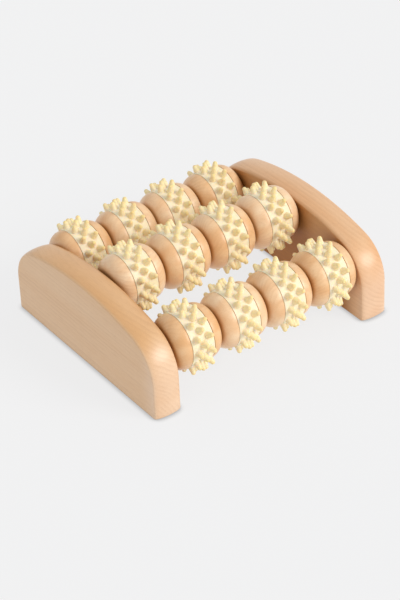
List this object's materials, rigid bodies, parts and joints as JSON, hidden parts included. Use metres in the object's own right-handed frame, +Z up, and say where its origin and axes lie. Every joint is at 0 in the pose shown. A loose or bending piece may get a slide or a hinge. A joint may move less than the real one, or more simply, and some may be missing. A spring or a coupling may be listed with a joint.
{
  "type": "foot massage roller",
  "caption": "Free-standing wooden foot massager: arched side panels carry three rows of freely rolling turned beads, each ringed by a pegged rubber band.",
  "frame": {"origin": "on the floor, under the centre of the massager", "axes": "+X along the axles, +Y from front to back, +Z up"},
  "size_m": [0.22, 0.1999, 0.0879],
  "materials": {
    "panel_wood": "pale hardwood board under a thin satin lacquer",
    "bead_wood": "turned pale hardwood under satin lacquer",
    "rubber": "soft ivory rubber, slightly glossy",
    "axle_steel": "plain drawn rod"
  },
  "bodies": {
    "frame": {"side_panel_left": "panel_wood", "side_panel_right": "panel_wood", "axle_front": "axle_steel", "axle_middle": "axle_steel", "axle_back": "axle_steel"},
    "roller_front_1": {"bead_front_1": "bead_wood", "band_front_1": "rubber"},
    "roller_front_2": {"bead_front_2": "bead_wood", "band_front_2": "rubber"},
    "roller_front_3": {"bead_front_3": "bead_wood", "band_front_3": "rubber"},
    "roller_front_4": {"bead_front_4": "bead_wood", "band_front_4": "rubber"},
    "roller_middle_1": {"bead_middle_1": "bead_wood", "band_middle_1": "rubber"},
    "roller_middle_2": {"bead_middle_2": "bead_wood", "band_middle_2": "rubber"},
    "roller_middle_3": {"bead_middle_3": "bead_wood", "band_middle_3": "rubber"},
    "roller_middle_4": {"bead_middle_4": "bead_wood", "band_middle_4": "rubber"},
    "roller_back_1": {"bead_back_1": "bead_wood", "band_back_1": "rubber"},
    "roller_back_2": {"bead_back_2": "bead_wood", "band_back_2": "rubber"},
    "roller_back_3": {"bead_back_3": "bead_wood", "band_back_3": "rubber"},
    "roller_back_4": {"bead_back_4": "bead_wood", "band_back_4": "rubber"}
  },
  "joints": [
    {"name": "roller_front_1_spin", "type": "hinge", "parent": "frame", "child": "roller_front_1", "pos_m": [-0.0634, -0.0709, 0.0434], "axis": [1, 0, 0], "continuous": true},
    {"name": "roller_front_2_spin", "type": "hinge", "parent": "frame", "child": "roller_front_2", "pos_m": [-0.0206, -0.0709, 0.0434], "axis": [1, 0, 0], "continuous": true},
    {"name": "roller_front_3_spin", "type": "hinge", "parent": "frame", "child": "roller_front_3", "pos_m": [0.0222, -0.0709, 0.0434], "axis": [1, 0, 0], "continuous": true},
    {"name": "roller_front_4_spin", "type": "hinge", "parent": "frame", "child": "roller_front_4", "pos_m": [0.065, -0.0709, 0.0434], "axis": [1, 0, 0], "continuous": true},
    {"name": "roller_middle_1_spin", "type": "hinge", "parent": "frame", "child": "roller_middle_1", "pos_m": [-0.0634, 0, 0.059], "axis": [1, 0, 0], "continuous": true},
    {"name": "roller_middle_2_spin", "type": "hinge", "parent": "frame", "child": "roller_middle_2", "pos_m": [-0.0206, 0, 0.059], "axis": [1, 0, 0], "continuous": true},
    {"name": "roller_middle_3_spin", "type": "hinge", "parent": "frame", "child": "roller_middle_3", "pos_m": [0.0222, 0, 0.059], "axis": [1, 0, 0], "continuous": true},
    {"name": "roller_middle_4_spin", "type": "hinge", "parent": "frame", "child": "roller_middle_4", "pos_m": [0.065, 0, 0.059], "axis": [1, 0, 0], "continuous": true},
    {"name": "roller_back_1_spin", "type": "hinge", "parent": "frame", "child": "roller_back_1", "pos_m": [-0.0634, 0.0709, 0.0434], "axis": [1, 0, 0], "continuous": true},
    {"name": "roller_back_2_spin", "type": "hinge", "parent": "frame", "child": "roller_back_2", "pos_m": [-0.0206, 0.0709, 0.0434], "axis": [1, 0, 0], "continuous": true},
    {"name": "roller_back_3_spin", "type": "hinge", "parent": "frame", "child": "roller_back_3", "pos_m": [0.0222, 0.0709, 0.0434], "axis": [1, 0, 0], "continuous": true},
    {"name": "roller_back_4_spin", "type": "hinge", "parent": "frame", "child": "roller_back_4", "pos_m": [0.065, 0.0709, 0.0434], "axis": [1, 0, 0], "continuous": true}
  ]
}
